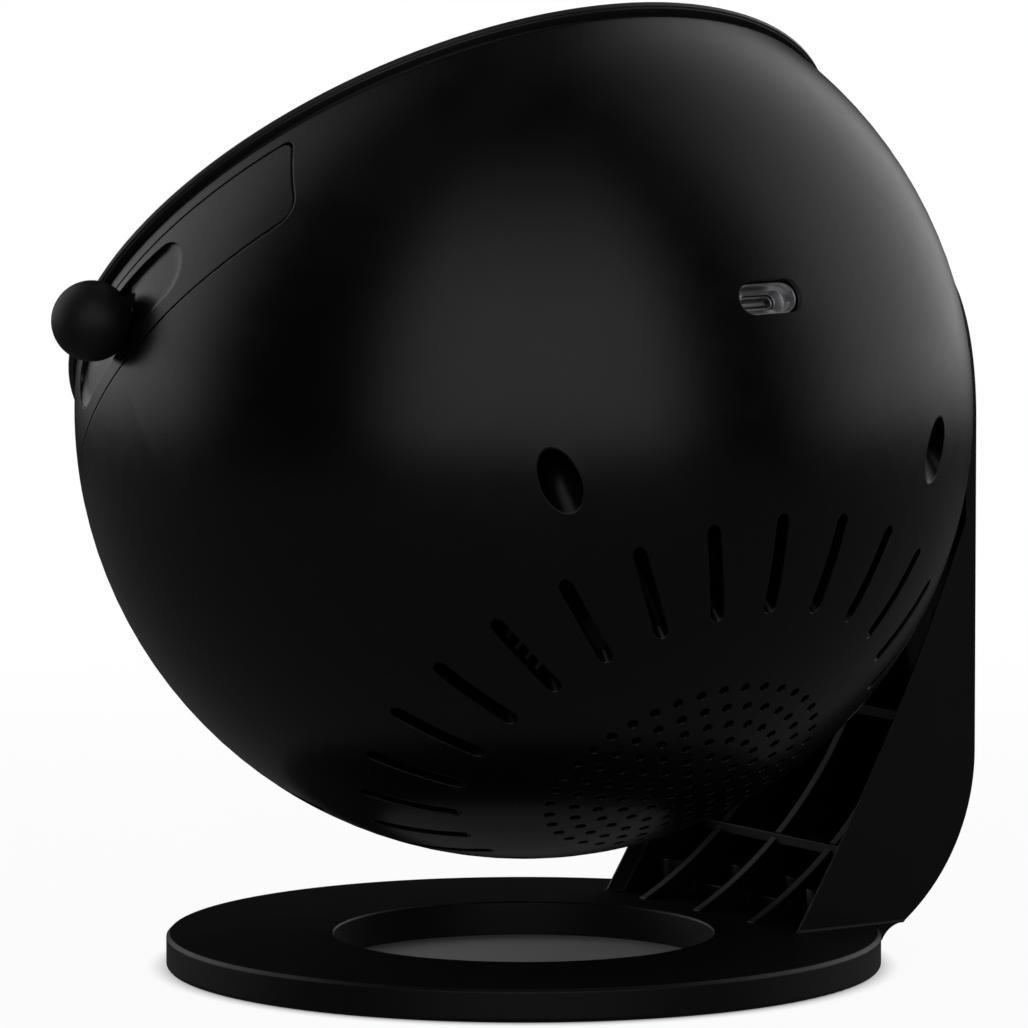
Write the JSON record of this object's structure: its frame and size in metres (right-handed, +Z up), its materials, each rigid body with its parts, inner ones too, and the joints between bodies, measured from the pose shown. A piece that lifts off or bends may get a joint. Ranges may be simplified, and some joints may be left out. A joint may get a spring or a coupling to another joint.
{
  "type": "planetarium projector",
  "caption": "Ball-shaped planetarium projector on a one-sided arm with a ring foot: it tilts, focuses, and takes star discs in a side tray.",
  "frame": {"origin": "centre of the hole through the foot ring, on the underside that stands on the table", "axes": "+Z up along the hole; the head looks along -Y and up; the tilt axis runs along X, with the arm on the -X side and the disc tray on the +X side"},
  "size_m": [0.1715, 0.1593, 0.1748],
  "materials": {
    "satin_shell": "fine moulded satin black",
    "stand_plastic": "fine textured satin black",
    "bezel_plastic": "satin dark grey",
    "panel_plastic": "gloss black",
    "knob_plastic": "soft matt black",
    "control_plastic": "satin dark grey",
    "inner_plastic": "moulded dark grey",
    "rail_plastic": "slippery mid grey",
    "gear_plastic": "natural white acetal",
    "rubber": "matt black",
    "fibre": "brown pressed fibre",
    "steel": "zinc plated",
    "aluminium": "plain extruded",
    "lamp_board": "white solder mask",
    "phosphor": "yellow phosphor under a clear dome",
    "glass": "clear, coated",
    "board_green": "green solder mask",
    "components": "black moulded parts",
    "light_pipe": "clear",
    "star_film": "dark film between clear discs",
    "red_lead": "red insulation",
    "yellow_lead": "yellow insulation"
  },
  "bodies": {
    "stand": {"base_ring": "stand_plastic", "base_pad": "rubber", "support_arm": "stand_plastic", "arm_screws": "steel", "pivot_bolt": "steel", "pivot_cap": "stand_plastic", "friction_washer": "fibre", "pressure_washer": "steel", "spring_washer": "steel", "pivot_nut": "steel"},
    "head": {"rear_shell": "satin_shell", "front_bezel": "bezel_plastic", "front_panel": "panel_plastic", "shell_screws": "steel", "chassis_plate": "inner_plastic", "tray_rails": "rail_plastic", "disc_motor": "steel", "condenser_housing": "inner_plastic", "rear_condenser": "glass", "front_condenser": "glass", "optics_screws": "steel", "led_board": "lamp_board", "led_emitter": "phosphor", "heat_sink": "aluminium", "fan_frame": "inner_plastic", "fan_screws": "steel", "main_board": "board_green", "board_parts": "components", "usb_board": "board_green", "usb_socket": "steel", "control_board": "board_green", "tact_switches": "components", "lens_guide": "inner_plastic", "status_light": "light_pipe", "usb_leads": "red_lead", "lamp_leads": "yellow_lead", "fan_leads": "red_lead"},
    "tray": {"tray_frame": "inner_plastic", "tray_panel": "satin_shell", "knob_stem": "steel", "ball_knob": "knob_plastic", "ring_clips": "inner_plastic"},
    "turntable": {"gear_ring": "gear_plastic", "star_disc": "star_film", "disc_clip": "steel"},
    "pinion": {"drive_pinion": "gear_plastic"},
    "focus": {"focus_ring": "control_plastic", "focus_grip": "rubber"},
    "lens": {"lens_barrel": "control_plastic", "rear_lens": "glass", "front_lens": "glass", "lens_retainer": "control_plastic", "focus_pin": "steel"},
    "power_button": {"power_button": "control_plastic"},
    "rotation_button": {"rotation_button": "control_plastic"},
    "timer_button": {"timer_button": "control_plastic"},
    "light_button": {"light_button": "control_plastic"},
    "fan": {"fan_rotor": "inner_plastic"}
  },
  "joints": [
    {"name": "head_tilt", "type": "hinge", "parent": "stand", "child": "head", "pos_m": [0, 0, 0.1], "axis": [-1, 0, 0], "range_deg": [-50, 40]},
    {"name": "tray_slide", "type": "slide", "parent": "head", "child": "tray", "axis": [1, 0, 0], "range_m": [0, 0.095]},
    {"name": "turntable_spin", "type": "hinge", "parent": "tray", "child": "turntable", "pos_m": [0, 0, 0.1], "axis": [0, -0.6428, 0.766], "continuous": true},
    {"name": "pinion_spin", "type": "hinge", "parent": "head", "child": "pinion", "pos_m": [-0.037, 0, 0.1], "axis": [0, -0.6428, 0.766], "continuous": true},
    {"name": "focus_turn", "type": "hinge", "parent": "head", "child": "focus", "pos_m": [0, 0, 0.1], "axis": [0, -0.6428, 0.766], "range_deg": [0, 120]},
    {"name": "lens_slide", "type": "slide", "parent": "head", "child": "lens", "axis": [0, -0.6428, 0.766], "range_m": [0, 0.005]},
    {"name": "power_press", "type": "slide", "parent": "head", "child": "power_button", "axis": [0, 0.6428, -0.766], "range_m": [0, 0.001], "stiffness_N_per_m": 600, "springref_m": -0.0005},
    {"name": "rotation_press", "type": "slide", "parent": "head", "child": "rotation_button", "axis": [0, 0.6428, -0.766], "range_m": [0, 0.001], "stiffness_N_per_m": 600, "springref_m": -0.0005},
    {"name": "timer_press", "type": "slide", "parent": "head", "child": "timer_button", "axis": [0, 0.6428, -0.766], "range_m": [0, 0.001], "stiffness_N_per_m": 600, "springref_m": -0.0005},
    {"name": "light_press", "type": "slide", "parent": "head", "child": "light_button", "axis": [0, 0.6428, -0.766], "range_m": [0, 0.001], "stiffness_N_per_m": 600, "springref_m": -0.0005},
    {"name": "fan_spin", "type": "hinge", "parent": "head", "child": "fan", "pos_m": [0, 0, 0.1], "axis": [0, -0.6428, 0.766], "continuous": true}
  ],
  "couplings": [
    {"joint": "pinion_spin", "follows": "turntable_spin", "ratio": -6.4},
    {"joint": "lens_slide", "follows": "focus_turn", "m_per_rad": 0.002387}
  ]
}
